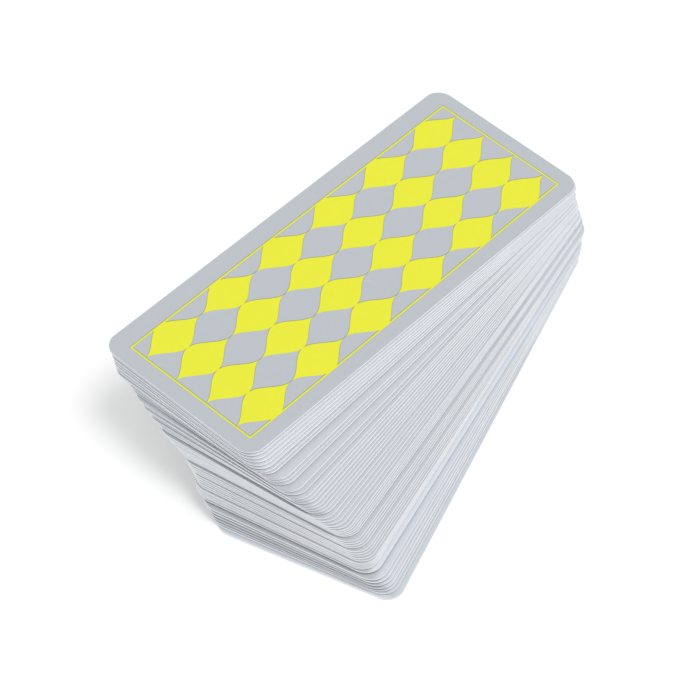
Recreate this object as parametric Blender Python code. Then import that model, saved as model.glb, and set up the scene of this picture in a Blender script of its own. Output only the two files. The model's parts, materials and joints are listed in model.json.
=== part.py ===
"""A full deck of slim playing cards lying face down, twisted open about its far end.

Metres, +Z up. The lowest card lies on z = 0 with its centre at the origin and its long side along Y.
Each card above it is turned a little further about the end where the deck was pinched. The cards keep
together in packets, because a deck that is twisted by hand slips in packets and not card by card.
"""
from collections import namedtuple
from math import cos, pi, radians, sin
from random import Random

import bpy
from mathutils import Matrix, Vector

# One card
CARD_WIDTH = 0.034
CARD_LENGTH = 0.089
CARD_THICKNESS = 0.00026
CORNER_RADIUS = 0.0032
CORNER_STEPS = 6

# The stack
AIR_GAP = 0.00002
PACKET_GAP = 0.00008
PINCH_INSET = 0.001
TOP_CARD_PUSH = 0.0004

# How unevenly the cards lie in their packets
TURN_UNEVENNESS = radians(0.02)
LEFT_UNEVENNESS = 0.00002
FAR_UNEVENNESS = 0.00004
UNEVENNESS_SEED = 54

# Paper with a light blue-grey back
BACK_COLOUR = (0.51, 0.55, 0.60, 1.0)
BACK_ROUGHNESS = 0.45

SUITS = ("spades", "hearts", "clubs", "diamonds")
RANKS = ("ace", "two", "three", "four", "five", "six", "seven", "eight", "nine", "ten",
         "jack", "queen", "king")
JOKERS = ("joker_black", "joker_red")

# A packet of cards that slipped as one. Inside it each card is turned by so many degrees from the card
# beneath, lies so far to the left of it and towards its far end, and has so much air under it. Its first
# card has steps and a gap of its own from the packet below.
Packet = namedtuple("Packet", "cards turn left far air turn_below left_below far_below gap",
                    defaults=(0.0, 0.0, 0.0, AIR_GAP, 0.0, 0.0, 0.0, PACKET_GAP))
LOWER_PACKETS = (
    Packet(cards=1),
    Packet(cards=2, turn=0.33, far=0.0001, air=0.0001, turn_below=0.60, left_below=0.0002, far_below=0.0006),
    Packet(cards=4, turn=0.34, far=0.0001, air=0.0002, turn_below=0.32, left_below=-0.0001, far_below=0.0001,
           gap=0.0002),
    Packet(cards=1, turn_below=0.82, left_below=0.0001, far_below=0.0007, gap=0.00025),
    Packet(cards=6, turn=0.11, left=-0.00009, turn_below=0.03, left_below=0.0007, far_below=0.00015),
)
UPPER_PACKETS = (
    Packet(cards=5, turn=0.25, far=0.00014, turn_below=0.05, far_below=0.0003),
    Packet(cards=4, turn=0.23, far=0.00011, left_below=0.0007, far_below=0.0002),
    Packet(cards=5, turn=0.19, far=-0.00006, turn_below=0.23, left_below=0.0006, far_below=0.0004),
    Packet(cards=5, turn=0.46, turn_below=0.06, left_below=0.0004, far_below=-0.0001),
    Packet(cards=5, turn=0.36, far=-0.00008, turn_below=0.31, left_below=0.0002, far_below=0.0005),
    Packet(cards=3, turn=0.38, far=-0.00006, turn_below=0.31, left_below=0.0001, far_below=0.0001),
    Packet(cards=2, turn=0.56, turn_below=0.44, left_below=0.0002, far_below=0.0002),
    Packet(cards=3, turn=0.37, turn_below=1.00, left_below=0.0002, far_below=0.0004),
    Packet(cards=2, turn=0.35, far=-0.0001, turn_below=1.26, far_below=-0.0002),
    Packet(cards=5, turn=0.37, far=0.00017, air=0.00006, turn_below=0.34, far_below=0.00015),
)
TOP_PACKET = Packet(cards=1, left_below=TOP_CARD_PUSH)


def card_names():
    """Names from the lowest card to the top one."""
    faces = [f"{rank}_of_{suit}" for suit in SUITS for rank in RANKS]
    faces.extend(JOKERS)
    return [f"card_{place:02d}_{face}" for place, face in enumerate(faces, start=1)]


def card_places():
    """The matrix of each card's pinch point, at mid thickness, from the lowest card to the top one."""
    uneven = Random(UNEVENNESS_SEED)
    pinch = Vector((0.0, CARD_LENGTH / 2 - PINCH_INSET, CARD_THICKNESS / 2))
    turn = 0.0
    places = []
    for packet in LOWER_PACKETS + UPPER_PACKETS + (TOP_PACKET,):
        for card in range(packet.cards):
            first = card == 0
            turn -= radians(packet.turn_below if first else packet.turn)
            left = packet.left_below if first else packet.left
            far = packet.far_below if first else packet.far
            if places:
                pinch = pinch + Matrix.Rotation(turn, 3, "Z") @ Vector((-left, far, 0.0))
                pinch.z += CARD_THICKNESS + (packet.gap if first else packet.air)
            place = Matrix.Translation(pinch) @ Matrix.Rotation(turn, 4, "Z")
            if packet.cards > 1:
                slip = Vector((uneven.uniform(-LEFT_UNEVENNESS, LEFT_UNEVENNESS),
                               uneven.uniform(-FAR_UNEVENNESS, FAR_UNEVENNESS), 0.0))
                lean = uneven.uniform(-TURN_UNEVENNESS, TURN_UNEVENNESS)
                place = place @ Matrix.Translation(slip) @ Matrix.Rotation(lean, 4, "Z")
            places.append(place)
    return places


def card_outline():
    """Corner arcs of one card, anticlockwise, measured from its pinch point."""
    side = CARD_WIDTH / 2 - CORNER_RADIUS
    far = PINCH_INSET - CORNER_RADIUS
    near = PINCH_INSET - CARD_LENGTH + CORNER_RADIUS
    corners = ((side, near, -pi / 2), (side, far, 0.0), (-side, far, pi / 2), (-side, near, pi))
    points = []
    for x, y, start in corners:
        for step in range(CORNER_STEPS + 1):
            angle = start + step * pi / 2 / CORNER_STEPS
            points.append((x + CORNER_RADIUS * cos(angle), y + CORNER_RADIUS * sin(angle)))
    return points


def card_sheet(material):
    """The flat sheet that every card is cut to."""
    sheet = bpy.data.curves.new("card_sheet", "CURVE")
    sheet.dimensions = "2D"
    sheet.fill_mode = "BOTH"
    sheet.extrude = CARD_THICKNESS / 2
    sheet.render_resolution_u = 0
    outline = card_outline()
    spline = sheet.splines.new("POLY")
    spline.points.add(len(outline) - 1)
    spline.use_cyclic_u = True
    for point, (x, y) in zip(spline.points, outline):
        point.co = (x, y, 0.0, 1.0)
    sheet.materials.append(material)
    return sheet


def card_stock():
    """Coated card, blue-grey on the back."""
    material = bpy.data.materials.new("card_stock")
    material.use_nodes = True
    shader = material.node_tree.nodes["Principled BSDF"]
    shader.inputs["Base Color"].default_value = BACK_COLOUR
    shader.inputs["Roughness"].default_value = BACK_ROUGHNESS
    shader.inputs["Metallic"].default_value = 0.0
    return material


def build():
    for item in list(bpy.data.objects):
        bpy.data.objects.remove(item, do_unlink=True)
    deck = bpy.data.collections.new("playing_card_deck")
    bpy.context.scene.collection.children.link(deck)
    sheet = card_sheet(card_stock())
    for name, place in zip(card_names(), card_places()):
        card = bpy.data.objects.new(name, sheet)
        card.matrix_world = place
        deck.objects.link(card)


build()
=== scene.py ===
import json
import math

import bmesh
import bpy
import numpy as np
from mathutils import Matrix, Vector
from mathutils.geometry import delaunay_2d_cdt

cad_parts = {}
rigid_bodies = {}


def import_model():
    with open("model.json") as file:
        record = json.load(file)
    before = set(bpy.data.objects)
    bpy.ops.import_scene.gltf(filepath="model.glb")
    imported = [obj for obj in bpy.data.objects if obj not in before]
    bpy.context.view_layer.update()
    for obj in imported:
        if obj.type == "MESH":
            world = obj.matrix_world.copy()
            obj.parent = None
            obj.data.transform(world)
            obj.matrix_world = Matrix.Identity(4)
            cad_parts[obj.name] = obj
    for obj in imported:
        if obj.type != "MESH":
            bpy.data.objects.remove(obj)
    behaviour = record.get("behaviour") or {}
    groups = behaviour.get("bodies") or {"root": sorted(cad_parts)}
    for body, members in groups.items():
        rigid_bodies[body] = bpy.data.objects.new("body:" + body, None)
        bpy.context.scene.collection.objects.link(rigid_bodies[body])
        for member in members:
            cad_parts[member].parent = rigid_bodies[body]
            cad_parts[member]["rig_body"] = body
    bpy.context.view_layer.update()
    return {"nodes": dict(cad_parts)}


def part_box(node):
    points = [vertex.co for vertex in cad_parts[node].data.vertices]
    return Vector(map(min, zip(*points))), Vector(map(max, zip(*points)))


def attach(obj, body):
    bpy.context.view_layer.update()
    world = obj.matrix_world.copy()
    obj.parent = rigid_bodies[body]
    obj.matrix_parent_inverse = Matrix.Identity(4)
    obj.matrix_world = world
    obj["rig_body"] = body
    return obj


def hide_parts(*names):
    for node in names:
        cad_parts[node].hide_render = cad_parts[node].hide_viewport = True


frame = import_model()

bpy.context.scene.view_settings.view_transform = "Standard"
millimetres = 1000  # in a metre
lowest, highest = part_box("card_01_ace_of_spades")
cardWidth, cardLength, cardThickness = highest - lowest
print("frame loaded:", len(frame["nodes"]), "cards of", round(cardWidth * millimetres, 2), "x",
      round(cardLength * millimetres, 2), "mm")


class Wire:  # a socket in a node tree, so that shader maths reads as Python
    def __init__(self, tree, socket=None):
        self.tree = tree
        self.socket = socket

    def node(self, kind, settings=None, sockets=None, output=0):
        made = self.tree.nodes.new(kind)
        for name, value in (settings or {}).items():
            setattr(made, name, value)
        for name, value in (sockets or {}).items():
            if isinstance(value, Wire):
                self.tree.links.new(value.socket, made.inputs[name])
            else:
                made.inputs[name].default_value = value
        return Wire(self.tree, made.outputs[output])

    def maths(self, operation, *values):
        return self.node("ShaderNodeMath", {"operation": operation}, dict(enumerate(values)))

    def mix(self, under, over):  # this wire is the factor between two colours
        return self.node("ShaderNodeMix", {"data_type": "RGBA"}, {0: self, 6: under, 7: over}, 2)

    def fade(self, start, end):  # 0 before start, 1 past end
        return self.node("ShaderNodeMapRange", {"interpolation_type": "SMOOTHSTEP"},
                         {"Value": self, "From Min": start, "From Max": end})

    def span(self, least, most):  # from least to most as this wire goes from 0 to 1
        return least + self * (most - least)

    def larger(self, other):
        return self.maths("MAXIMUM", self, other)

    def smaller(self, other):
        return self.maths("MINIMUM", self, other)

    def __add__(self, other):
        return self.maths("ADD", self, other)

    def __radd__(self, other):
        return self.maths("ADD", other, self)

    def __sub__(self, other):
        return self.maths("SUBTRACT", self, other)

    def __rsub__(self, other):
        return self.maths("SUBTRACT", other, self)

    def __mul__(self, other):
        return self.maths("MULTIPLY", self, other)

    def __rmul__(self, other):
        return self.maths("MULTIPLY", other, self)

    def __truediv__(self, other):
        return self.maths("DIVIDE", self, other)

    def __rtruediv__(self, other):
        return self.maths("DIVIDE", other, self)

    def __abs__(self):
        return self.maths("ABSOLUTE", self)


def startFinish(name, specular):  # a new material, a wire to begin from, and its shader
    material = bpy.data.materials.new(name)
    material.use_nodes = True
    shader = material.node_tree.nodes["Principled BSDF"]
    shader.inputs["Specular IOR Level"].default_value = specular
    return material, Wire(material.node_tree), shader


def feed(shader, sockets):
    for name, wire in sockets.items():
        wire.tree.links.new(wire.socket, shader.inputs[name])


def cardPoint(wire):  # a point on the card, from the card's middle
    return wire.node("ShaderNodeTexCoord", output="Object")


def cardChance(wire):  # a number of the card's own, so that no two cards are alike
    return wire.node("ShaderNodeObjectInfo", output="Random")


def parts(point, axes="XYZ"):  # the coordinates of a point, or the three values of a colour
    return [point.node("ShaderNodeSeparateXYZ", sockets={0: point}, output=axis) for axis in axes]


def noise(wire, where, perMetre, detail):  # cloudy, between 0 and 1
    return wire.node("ShaderNodeTexNoise", sockets={"Vector": where, "Scale": perMetre, "Detail": detail})


def relief(wire, height, strength, depth):
    return wire.node("ShaderNodeBump", sockets={"Strength": strength, "Distance": depth, "Height": height})


def shade(colour, amount=1.0):
    return (*(min(channel * amount, 1.0) for channel in colour), 1.0)


def toned(wire, colour, tones):  # the wire takes a colour from its darkest tone to its lightest
    darkest, lightest = tones
    return wire.mix(shade(colour, darkest), shade(colour, lightest))


def closeTo(edge, place, reach):  # reach is how far from the edge this begins, and where it is full
    begins, full = reach
    return place.fade(edge - begins, edge - full)


# Painted light and shade on the cards, by the last card of each group counted from the table: how much
# painted light lifts the long and the short borders of the back, and how much painted shade darkens the
# long sides and the short ends of the cut edge
deckLightAndShade = {
    1: (0.50, 0.60, 0.00, 0.10),
    2: (0.50, 0.30, 0.00, 0.10),
    5: (0.69, 0.00, 0.00, 0.90),
    7: (0.69, 0.00, 0.00, 0.15),
    8: (1.00, 0.00, 0.00, 0.50),
    14: (0.30, 0.00, 0.20, 0.35),
    23: (0.20, 0.00, 0.13, 0.12),
    33: (0.33, 0.00, 0.03, 0.12),
    41: (0.33, 0.00, 0.00, 0.95),
    48: (0.33, 0.00, 0.00, 0.70),
    53: (0.67, 0.20, 0.00, 0.45),
    54: (0.00, 0.00, 0.00, 0.40),
}
pinchedEnd = (0.030, 0.014)  # from the far end, where the cards are pinched: where more painted light on the back's border and darker cut edges begin, and where they are most


def lightAndShadeOf(number):
    return next(wear for last, wear in deckLightAndShade.items() if number <= last)


def paintedLightAndShade(wire):  # the painted light and painted shade that a card carries in its object colour
    firstThree = parts(wire.node("ShaderNodeObjectInfo", output="Color"))
    return firstThree + [wire.node("ShaderNodeObjectInfo", output="Alpha")]


def pinchedPart(along):
    return closeTo(cardLength / 2, along, pinchedEnd)


# The back: grey ground, and rows of yellow ogees inside a thin yellow frame
backPrint = {
    "ground": (0.493, 0.526, 0.560),
    "paintedLitGround": (0.722, 0.769, 0.827),  # painted light: the ground as it would look more brightly lit, along the border
    "groundTones": (0.95, 1.05),
    "ownTone": 0.5,  # share of the tone that is the card's own, and the rest is cloudy
    "litBorder": (0.0005, 0.0020),  # from the cut edge: full painted light up to here, none from here
    "moreLightAtPinch": 1.3,  # more painted light at the pinched end
    "ink": (0.815, 0.825, 0.031),
    "inkTones": (0.97, 1.03),
    "inkBlur": 0.00002,  # to each side of the ink's border
    "overlap": (0.27, 0.27, 0.07),  # where yellow runs onto grey
    "spread": 0.00007,  # yellow is printed this much too wide
    "slip": (-0.00004, 0.00004),  # and this much out of place
    "sideMargin": 0.0033,
    "endMargin": 0.0031,
    "offCentre": (0.00045, 0.0),  # the print isn't quite centred on the cut card
    "frameLine": 0.00030,
    "ogeesAcross": 4,
    "ogeesAlong": 6,
    "bareStock": (0.90, 0.912, 0.93),
    "rubbedRim": (0.000036, 0.000144),  # from the cut edge: rubbed up to here, whole from here
    "rubbedMost": 0.9,
    "scuffed": (0.66, 0.80),  # how strong the noise is where a scuff begins, and where it is full
    "scuffedMost": 0.10,
    "scuffs": (260.0, 5.0),  # noise: how many to a metre, and detail
    "cloud": (900.0, 4.0),
    "fine": (9000.0, 2.0),
    "fineRelief": 0.6,  # share of the relief, and the rest is cloudy
    "relief": (0.12, 0.00002),  # strength and depth
    "roughness": (0.38, 0.54),
    "wornRoughness": 0.2,  # added where it is worn
    "specular": 0.35,
}


def makeCardBack():
    p = backPrint
    material, wire, shader = startFinish("cardBack", p["specular"])
    where = cardPoint(wire)
    x, y = parts(where, "XY")
    litSides, litEnds = paintedLightAndShade(wire)[:2]
    halfWide = cardWidth / 2 - p["sideMargin"]
    halfLong = cardLength / 2 - p["endMargin"]
    ogeeWide = 2 * halfWide / p["ogeesAcross"]
    ogeeLong = 2 * halfLong / p["ogeesAlong"]

    def insideYellow(slipX, slipY):  # metres in from the border of the yellow, less than 0 on grey
        across = x - (p["offCentre"][0] + slipX)
        along = y - (p["offCentre"][1] + slipY)
        u = across / ogeeWide
        v = along * (2 * math.pi / ogeeLong)  # one turn for each ogee
        fromMiddle = abs(wire.maths("FRACT", u) - 0.5)
        swell = 0.25 - wire.maths("COSINE", v) * 0.25 - fromMiddle  # in widths of an ogee
        lean = wire.maths("SINE", v) * (0.5 * math.pi / ogeeLong)  # of its border
        ogee = swell / wire.maths("SQRT", lean * lean + 1 / ogeeWide ** 2)
        toFrame = (halfWide - abs(across)).smaller(halfLong - abs(along))
        return ogee.smaller(toFrame).larger(toFrame.smaller(p["frameLine"] - toFrame))

    border = (-p["inkBlur"], p["inkBlur"])
    yellow = insideYellow(0.0, 0.0).fade(*border)
    overlap = (insideYellow(*p["slip"]) + p["spread"]).fade(*border) * (1 - yellow)
    cloud = noise(wire, where, *p["cloud"])
    fine = noise(wire, where, *p["fine"])
    tone = cloud * (1 - p["ownTone"]) + cardChance(wire) * p["ownTone"]
    toSide = cardWidth / 2 - abs(x)
    toEnd = cardLength / 2 - abs(y)
    # painted light: the ground is lighter along the borders of the back, more at the pinched end
    litSides = litSides * (1 + pinchedPart(y) * p["moreLightAtPinch"]) * (1 - toSide.fade(*p["litBorder"]))
    litEnds = litEnds * (1 - toEnd.fade(*p["litBorder"]))
    ground = litSides.larger(litEnds).mix(toned(tone, p["ground"], p["groundTones"]),
                                            toned(tone, p["paintedLitGround"], p["groundTones"]))
    ink = toned(cloud, p["ink"], p["inkTones"])
    printed = overlap.mix(yellow.mix(ground, ink), shade(p["overlap"]))
    rubbed = (1 - toSide.smaller(toEnd).fade(*p["rubbedRim"])) * p["rubbedMost"]
    scuff = noise(wire, where, *p["scuffs"]).fade(*p["scuffed"]) * p["scuffedMost"]
    worn = rubbed.larger(scuff)
    height = fine * p["fineRelief"] + cloud * (1 - p["fineRelief"])
    feed(shader, {
        "Base Color": worn.mix(printed, shade(p["bareStock"])),
        "Roughness": cloud.span(*p["roughness"]) + worn * p["wornRoughness"],
        "Normal": relief(wire, height, *p["relief"]),
    })
    return material


# The cut edge: two white plies with a thin glue line between them, darkened along the rims by painted
# shade
cutEdge = {
    "ply": (0.928, 0.957, 1.0),
    "plyTones": (0.90, 1.07),
    "ownTone": 0.6,  # share of the tone that is the card's own, and the rest is fibre
    "dulledPly": 0.86,  # its tone where it is stained or pinched
    "stained": (0.45, 0.75),  # how strong the noise is where a stain begins, and where it is full
    "stainedMost": 0.25,
    "pinchedMost": 0.65,
    "glue": (0.60, 0.63, 0.71),
    "glueLine": (0.048, 0.16),  # shares of the thickness from its middle: all up to here, none from here
    "glueShown": (0.25, 0.75),  # least and most, by the fibres over it
    # painted shade between the stacked cards: its colour, where on the edge it lies, and how it varies
    "gapShade": (0.21, 0.23, 0.31),
    "shadedRim": (0.27, 0.43),  # shares of the thickness from its middle: none up to here, all from here
    "endReach": (0.0022, 0.0004),  # from a short end: where its own painted shade begins, and where it is full
    "leftSideShade": 0.50,  # more painted shade on the left side, away from the key lamp
    "leftSideReach": (0.0012, 0.0002),
    "shadeByCard": (0.6, 1.6),
    "shadeByStain": (0.9, 1.4),
    "stain": (120.0, 3.0),  # noise: how many to a metre, and detail
    "fibre": (2600.0, 4.0),
    "fibreWay": (1.0, 1.0, 9.0),  # fibres lie flat in the sheet
    "relief": (0.25, 0.00003),  # strength and depth
    "roughness": (0.70, 0.90),
    "specular": 0.2,
}


def makeCardEdge():
    p = cutEdge
    material, wire, shader = startFinish("cardEdge", p["specular"])
    where = cardPoint(wire)
    x, y, z = parts(where)
    sideShade, endShade = paintedLightAndShade(wire)[2:]
    chance = cardChance(wire)
    streaks = wire.node("ShaderNodeVectorMath", {"operation": "MULTIPLY"}, {0: where, 1: p["fibreWay"]})
    fibre = noise(wire, streaks, *p["fibre"])
    stain = noise(wire, where, *p["stain"])
    tone = fibre * (1 - p["ownTone"]) + chance * p["ownTone"]
    dulled = (stain.fade(*p["stained"]) * p["stainedMost"]).larger(pinchedPart(y) * p["pinchedMost"])
    ply = dulled.mix(toned(tone, p["ply"], p["plyTones"]), shade(p["ply"], p["dulledPly"]))
    fromMiddle = abs(z) / cardThickness
    glue = (1 - fromMiddle.fade(*p["glueLine"])) * fibre.span(*p["glueShown"])
    cut = glue.mix(ply, shade(p["glue"]))
    onEnd = closeTo(cardLength / 2, abs(y), p["endReach"])
    onLeft = closeTo(cardWidth / 2, 0 - x, p["leftSideReach"])
    # painted shade: dark rims on each cut edge where shade falls between the stacked cards, by the card's
    # own amounts for its long sides and short ends
    shadeAmount = endShade * onEnd + (sideShade + onLeft * p["leftSideShade"]) * (1 - onEnd)
    patchy = chance.span(*p["shadeByCard"]) * stain.span(*p["shadeByStain"])
    gapShade = shadeAmount * fromMiddle.fade(*p["shadedRim"]) * patchy
    feed(shader, {
        "Base Color": gapShade.mix(cut, shade(p["gapShade"])),
        "Roughness": fibre.span(*p["roughness"]),
        "Normal": relief(wire, fibre, *p["relief"]),
    })
    return material


# The face: white stock, grubby along its rim
faceStock = {
    "white": (0.83, 0.83, 0.82),
    "whiteTones": (0.98, 1.03),
    "grubbyTone": 0.75,
    "grubbyMost": 0.35,
    "grubbyRim": 0.0012,  # how far in from the cut edge
    "cloud": (700.0, 4.0),  # noise: how many to a metre, and detail
    "fine": (9000.0, 2.0),
    "relief": (0.12, 0.00002),  # strength and depth
    "roughness": (0.36, 0.52),
    "specular": 0.35,
}


def makeFaceStock():
    p = faceStock
    material, wire, shader = startFinish("faceStock", p["specular"])
    where = cardPoint(wire)
    x, y = parts(where, "XY")
    cloud = noise(wire, where, *p["cloud"])
    fine = noise(wire, where, *p["fine"])
    toRim = (cardWidth / 2 - abs(x)).smaller(cardLength / 2 - abs(y))
    grubby = (1 - toRim.fade(0.0, p["grubbyRim"])) * cloud * p["grubbyMost"]
    clean = toned(cloud, p["white"], p["whiteTones"])
    feed(shader, {
        "Base Color": grubby.mix(clean, shade(p["white"], p["grubbyTone"])),
        "Roughness": cloud.span(*p["roughness"]),
        "Normal": relief(wire, fine, *p["relief"]),
    })
    return material


# The two inks of the faces
faceInk = {
    "black": (0.022, 0.022, 0.026),
    "red": (0.560, 0.030, 0.034),
    "tones": (0.8, 1.25),
    "cloud": (2400.0, 4.0),  # noise: how many to a metre, and detail
    "relief": (0.1, 0.00001),  # strength and depth
    "roughness": (0.36, 0.50),
    "specular": 0.4,
}


def makeFaceInk(name):
    p = faceInk
    material, wire, shader = startFinish("faceInk" + name.capitalize(), p["specular"])
    cloud = noise(wire, cardPoint(wire), *p["cloud"])
    feed(shader, {
        "Base Color": toned(cloud, p[name], p["tones"]),
        "Roughness": cloud.span(*p["roughness"]),
        "Normal": relief(wire, cloud, *p["relief"]),
    })
    return material


finishes = {
    "back": makeCardBack(),
    "edge": makeCardEdge(),
    "face": makeFaceStock(),
    "black": makeFaceInk("black"),
    "red": makeFaceInk("red"),
}
print("finishes made:", ", ".join(finishes))


# Each mark is a few outlines that overlap, about one unit high
markSteps = 40
stemSteps = 6
starPoints = 5


def around(steps=markSteps):
    return [2 * math.pi * step / steps for step in range(steps)]


def discOutline(x, y, radius):
    return [(x + radius * math.cos(turn), y + radius * math.sin(turn)) for turn in around()]


def heartOutline(wide, high, rise):  # the common heart curve; turned over where high is less than 0
    outline = []
    for turn in around():
        lobes = 13 * math.cos(turn) - 5 * math.cos(2 * turn) - 2 * math.cos(3 * turn) - math.cos(4 * turn)
        outline.append((wide * math.sin(turn) ** 3, rise + high * lobes / 29))
    return outline


def diamondOutline(wide, high, bow):  # straight sides where bow is 2, drawn in where it is more
    def drawnIn(reach, part):
        return reach * math.copysign(abs(part) ** bow, part)

    return [(drawnIn(wide, math.cos(turn)), drawnIn(high, math.sin(turn))) for turn in around()]


def stemOutline(top, foot, topY, footY, flare):  # flares to its foot
    side = []
    for step in range(stemSteps + 1):
        down = step / stemSteps
        side.append((top + (foot - top) * down ** flare, topY + (footY - topY) * down))
    return side + [(-x, y) for x, y in reversed(side)]


def starOutline(reach, notch):
    radii = (reach, notch) * starPoints
    return [(radius * math.sin(turn), radius * math.cos(turn))
            for radius, turn in zip(radii, around(2 * starPoints))]


stem = {"foot": 0.21, "topY": 0.05, "footY": -0.54, "flare": 2.2}  # of spades and clubs
clubLeaf = 0.235  # radius
clubMiddle = 0.13  # radius of the disc that joins the leaves
marks = {
    "hearts": [heartOutline(wide=0.50, high=1.06, rise=0.09)],
    "spades": [heartOutline(wide=0.48, high=-0.90, rise=0.03), stemOutline(top=0.035, **stem)],
    "clubs": [discOutline(0.0, 0.29, clubLeaf), discOutline(-0.265, -0.09, clubLeaf),
              discOutline(0.265, -0.09, clubLeaf), discOutline(0.0, 0.05, clubMiddle),
              stemOutline(top=0.045, **stem)],
    "diamonds": [diamondOutline(wide=0.41, high=0.56, bow=2.15)],
    "star": [starOutline(reach=0.5, notch=0.21)],
}
suitInks = {"hearts": "red", "spades": "black", "clubs": "black", "diamonds": "red"}
rankMarks = {
    "ace": "A", "two": "2", "three": "3", "four": "4", "five": "5", "six": "6", "seven": "7",
    "eight": "8", "nine": "9", "ten": "10", "jack": "J", "queen": "Q", "king": "K",
}
mostPips = 10  # past these come the court cards
# By the number of pips: how many rows the two side columns have, and where the middle column's pips
# stand, from 1 at the top row to -1 at the lowest
sideRows = {4: 2, 5: 2, 6: 3, 7: 3, 8: 3, 9: 4, 10: 4}
middleRows = {
    1: (0,), 2: (1, -1), 3: (1, 0, -1), 5: (0,), 7: (0.5,), 8: (0.5, -0.5), 9: (0,),
    10: (2 / 3, -2 / 3),
}
letterSteps = 6


def letterMesh(text):  # the plain built-in letter shapes, centred, one unit high
    curve = bpy.data.curves.new("letter", "FONT")
    curve.body = text
    curve.resolution_u = letterSteps
    curve.align_x = "CENTER"
    curve.align_y = "CENTER"
    holder = bpy.data.objects.new("letter", curve)
    mesh = bpy.data.meshes.new_from_object(holder)
    bpy.data.objects.remove(holder)
    bpy.data.curves.remove(curve)
    return mesh


letters = {text: letterMesh(text) for text in rankMarks.values()}

# What is printed on a face, and where, from the middle of the card
faceLayout = {
    "pip": 0.0076,
    "acePip": 2.2,  # times as large
    "columnGap": 0.0070,  # to a side column
    "rowReach": 0.0236,  # to the outer rows
    "index": 0.0072,
    "indexPip": 0.0042,
    "indexAt": (0.0128, 0.0372),
    "indexPipDrop": 0.0066,
    "courtFrame": (0.0088, 0.0335),  # half its width, and half its height
    "courtLine": 0.0004,
    "courtLetter": 0.0190,
    "courtLetterAt": 0.62,  # share of the frame's half height
    "courtPipAt": 0.18,
    "starReach": 0.0115,
}


def facePlace(x, y, size, upright=True):  # from a mark's own plane to the underside, read from below
    spin = Matrix.Rotation(0.0 if upright else math.pi, 4, "Z")
    under = Matrix.Diagonal((-1.0, 1.0, 1.0, 1.0))
    return under @ Matrix.Translation((x, y, 0.0)) @ spin @ Matrix.Scale(size, 4)


def printMark(inked, mark, place):
    for outline in marks[mark]:
        inked.append([place @ Vector((x, y, 0.0)) for x, y in outline])


def printLetter(inked, text, place):
    mesh = letters[text]
    for face in mesh.polygons:
        inked.append([place @ mesh.vertices[corner].co for corner in face.vertices])


def printBar(inked, x, y, wide, high):  # wide and high from end to end
    corners = ((-wide, -high), (wide, -high), (wide, high), (-wide, high))
    inked.append([facePlace(x, y, 0.5) @ Vector((a, b, 0.0)) for a, b in corners])


def printIndex(inked, rank, suit):  # at two corners, each the right way up for its end
    p = faceLayout
    atX, atY = p["indexAt"]
    for way in (1, -1):
        upright = way > 0
        if rank in rankMarks:
            printLetter(inked, rankMarks[rank], facePlace(-way * atX, way * atY, p["index"], upright))
        pipY = way * (atY - p["indexPipDrop"])
        printMark(inked, suit, facePlace(-way * atX, pipY, p["indexPip"], upright))


def printCourt(inked, rank, suit):  # a framed letter at each end, with its mark
    p = faceLayout
    wide, high = p["courtFrame"]
    for way in (1, -1):
        upright = way > 0
        printBar(inked, way * wide, 0.0, p["courtLine"], 2 * high)
        printBar(inked, 0.0, way * high, 2 * wide, p["courtLine"])
        letterY = way * high * p["courtLetterAt"]
        printLetter(inked, rankMarks[rank], facePlace(0.0, letterY, p["courtLetter"], upright))
        printMark(inked, suit, facePlace(0.0, way * high * p["courtPipAt"], p["pip"], upright))


def printPips(inked, count, suit):
    p = faceLayout
    rows = sideRows.get(count, 0)
    spots = [(column, 1 - 2 * row / (rows - 1)) for column in (-1, 1) for row in range(rows)]
    spots += [(0, row) for row in middleRows.get(count, ())]
    size = p["pip"] * (p["acePip"] if count == 1 else 1.0)
    for column, row in spots:
        place = facePlace(column * p["columnGap"], row * p["rowReach"], size, row >= 0)
        printMark(inked, suit, place)


def printFace(rank, suit):  # the outlines of all that is printed on a face
    inked = []
    printIndex(inked, rank, suit)
    if rank not in rankMarks:  # a joker
        printMark(inked, suit, facePlace(0.0, 0.0, 2 * faceLayout["starReach"]))
        return inked
    count = list(rankMarks).index(rank) + 1
    if count > mostPips:
        printCourt(inked, rank, suit)
    else:
        printPips(inked, count, suit)
    return inked


# One sheet of card
sheet = {
    "cornerRadius": 0.0032,
    "cornerSteps": 12,
    "softEdge": 0.00008,  # the cut edge is a little rounded
    "sliver": 0.0005,  # square millimetres: letter shapes hold a few slivers of no width
    "weld": 0.00001,  # millimetres
}
skins = ("back", "edge", "face", "ink")  # in the order of a card's finishes
insideOnly = 1  # the kind of cut that leaves nothing outside the outlines


def sheetRing(bm, inset, z):
    radius = sheet["cornerRadius"]
    ring = []
    for corner in range(4):
        middleX = (cardWidth / 2 - radius) * (1, -1, -1, 1)[corner]
        middleY = (cardLength / 2 - radius) * (1, 1, -1, -1)[corner]
        for step in range(sheet["cornerSteps"] + 1):
            turn = (corner + step / sheet["cornerSteps"]) * math.pi / 2
            ring.append(bm.verts.new((middleX + (radius - inset) * math.cos(turn),
                                      middleY + (radius - inset) * math.sin(turn), z)))
    return ring


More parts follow.
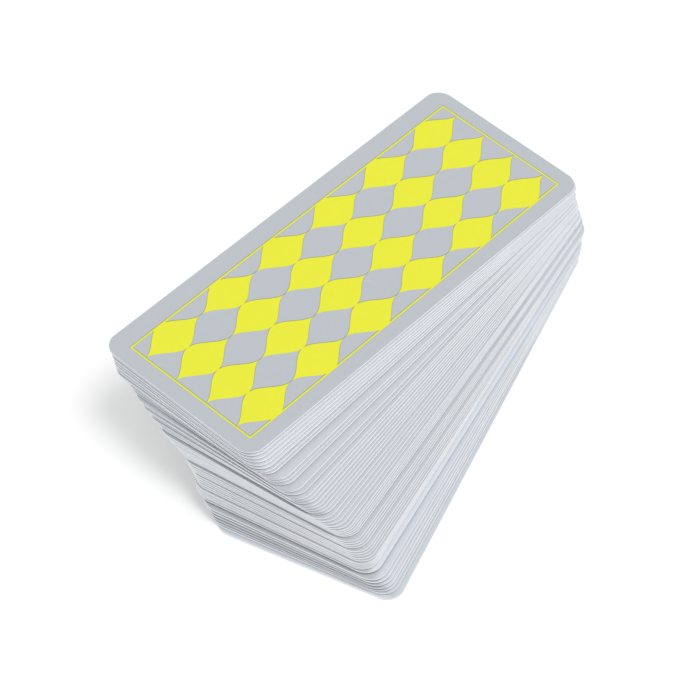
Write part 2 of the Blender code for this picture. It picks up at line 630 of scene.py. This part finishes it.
def fillFace(bm, ring, inked):  # one flat skin over the underside, cut along the print
    flat = []
    loops = []
    for outline in [[corner.co for corner in ring]] + inked:
        spots = [point.xy * millimetres for point in outline]  # a size that suits the cutting
        area = sum(a.cross(b) for a, b in zip(spots, spots[1:] + spots[:1])) / 2
        if abs(area) > sheet["sliver"]:
            loop = list(range(len(flat), len(flat) + len(spots)))
            loops.append(loop if area > 0 else loop[::-1])
            flat += spots
    cut = delaunay_2d_cdt(flat, [], loops, insideOnly, sheet["weld"], True)
    points, _, faces, pointOf, _, faceOf = cut
    corners = []
    for point, source in zip(points, pointOf):
        if source and min(source) < len(ring):
            corners.append(ring[min(source)])
        else:
            corners.append(bm.verts.new((point.x / millimetres, point.y / millimetres, ring[0].co.z)))
    for face, source in zip(faces, faceOf):
        made = bm.faces.new([corners[i] for i in reversed(face)])
        made.material_index = skins.index("ink" if max(source) > 0 else "face")


def makeCard(name, rank, suit, ink):
    bm = bmesh.new()
    half = cardThickness / 2
    soft = sheet["softEdge"]
    rings = [sheetRing(bm, soft, -half), sheetRing(bm, 0.0, soft - half),
             sheetRing(bm, 0.0, half - soft), sheetRing(bm, soft, half)]
    for low, high in zip(rings, rings[1:]):
        for i in range(len(low)):
            j = (i + 1) % len(low)
            bm.faces.new((low[i], low[j], high[j], high[i])).material_index = skins.index("edge")
    bm.faces.new(rings[-1]).material_index = skins.index("back")
    fillFace(bm, rings[0], printFace(rank, suit))
    mesh = bpy.data.meshes.new(name)
    bm.to_mesh(mesh)
    bm.free()
    for skin in skins:
        mesh.materials.append(finishes[ink if skin == "ink" else skin])
    card = bpy.data.objects.new(name, mesh)
    bpy.context.scene.collection.objects.link(card)
    return card


def cardPlace(node):  # a card's middle and its turn, from its solid's own corners
    points = np.array([v.co for v in node.data.vertices])
    middle = (points.min(0) + points.max(0)) / 2
    x, y = (points - middle)[:, :2].T
    longWay = 0.5 * math.atan2(2 * (x * y).sum(), (x * x).sum() - (y * y).sum())
    turn = longWay % math.pi - math.pi / 2
    return Matrix.Translation(middle) @ Matrix.Rotation(turn, 4, "Z")


for name, node in sorted(frame["nodes"].items()):
    words = name.split("_")
    if "of" in words:
        rank, suit = words[2], words[4]
        ink = suitInks[suit]
    else:  # a joker, named by its ink
        rank, ink = words[2:]
        suit = "star"
    card = makeCard("printed_" + name, rank, suit, ink)
    card.color = lightAndShadeOf(int(words[1]))  # the names count upwards from the table
    card.matrix_world = cardPlace(node)
    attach(card, node["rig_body"])
    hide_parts(name)
print("cards made:", len(frame["nodes"]))


# Floor, light and camera
studio = {
    "floor": (0.965, 0.966, 0.968),
    "floorSize": 6.0,
    "floorCells": 8,
    "floorDrop": 0.00002,  # keeps it clear of the lowest card
    "floorLift": 0.10,  # the white ground of the picture, and no light on the cards
    "sky": (0.64, 0.64, 0.64),
    # each lamp: strength, where it shines from, and how many degrees across it is
    "key": (1.06, (0.235, 0.055, 0.97), 34.0),  # from the right, and well above
    "fill": (0.22, (-0.55, -0.55, 0.62), 70.0),  # a wide one from the near left
}
white = (1.0, 1.0, 1.0)
unlit = (0.0, 0.0, 0.0)


def seenDirectly(wire):  # 1 for the camera and for what mirrors or glass would show
    seen = wire.node("ShaderNodeLightPath", output="Is Camera Ray")
    for output in ("Is Glossy Ray", "Is Transmission Ray"):
        seen = seen.larger(wire.node("ShaderNodeLightPath", output=output))
    return seen


def makeFloor():
    p = studio
    bm = bmesh.new()
    cells = p["floorCells"]
    bmesh.ops.create_grid(bm, x_segments=cells, y_segments=cells, size=p["floorSize"] / 2)
    mesh = bpy.data.meshes.new("floor")
    bm.to_mesh(mesh)
    bm.free()
    material, wire, shader = startFinish("floorPaper", 0.0)
    shader.inputs["Base Color"].default_value = shade(p["floor"])
    shader.inputs["Roughness"].default_value = 1.0
    shader.inputs["Emission Strength"].default_value = p["floorLift"]
    feed(shader, {"Emission Color": seenDirectly(wire).mix(shade(unlit), shade(white))})
    mesh.materials.append(material)
    floor = bpy.data.objects.new("floor", mesh)
    floor.location.z = -p["floorDrop"]
    bpy.context.scene.collection.objects.link(floor)


def lightStudio():
    p = studio
    world = bpy.data.worlds.new("studio")
    bpy.context.scene.world = world
    world.use_nodes = True
    wire = Wire(world.node_tree)
    background = world.node_tree.nodes["Background"]
    feed(background, {"Color": seenDirectly(wire).mix(shade(p["sky"]), shade(white))})
    for name in ("key", "fill"):
        strength, comesFrom, across = p[name]
        light = bpy.data.lights.new(name, "SUN")
        light.energy = strength
        light.angle = math.radians(across)
        lamp = bpy.data.objects.new(name, light)
        lamp.rotation_mode = "QUATERNION"
        lamp.rotation_quaternion = Vector(comesFrom).to_track_quat("Z", "Y")
        bpy.context.scene.collection.objects.link(lamp)


# The photographer stood well back and held the camera a little askew
viewpoint = {
    "place": (0.07981, -0.29769, 0.36898),
    "azimuth": 16.995,
    "elevation": 49.620,
    "roll": 8.409,
    "lens": 140.24,
    "sensor": 36.0,
    "seesFrom": 0.01,  # nothing nearer is drawn
}


def setCamera():
    p = viewpoint
    azimuth, elevation, roll = (math.radians(p[key]) for key in ("azimuth", "elevation", "roll"))
    level = math.cos(elevation)
    ahead = Vector((-math.sin(azimuth) * level, math.cos(azimuth) * level, -math.sin(elevation)))
    right = ahead.cross(Vector((0.0, 0.0, 1.0))).normalized()
    up = right.cross(ahead)
    rolledRight = right * math.cos(roll) + up * math.sin(roll)
    rolledUp = up * math.cos(roll) - right * math.sin(roll)
    turned = Matrix((rolledRight, rolledUp, -ahead)).transposed().to_4x4()
    data = bpy.data.cameras.new("photo")
    data.sensor_width = p["sensor"]
    data.lens = p["lens"]
    data.clip_start = p["seesFrom"]
    camera = bpy.data.objects.new("photo", data)
    camera.matrix_world = Matrix.Translation(p["place"]) @ turned
    bpy.context.scene.collection.objects.link(camera)
    bpy.context.scene.camera = camera


makeFloor()
lightStudio()
setCamera()
print("floor, light and camera set")
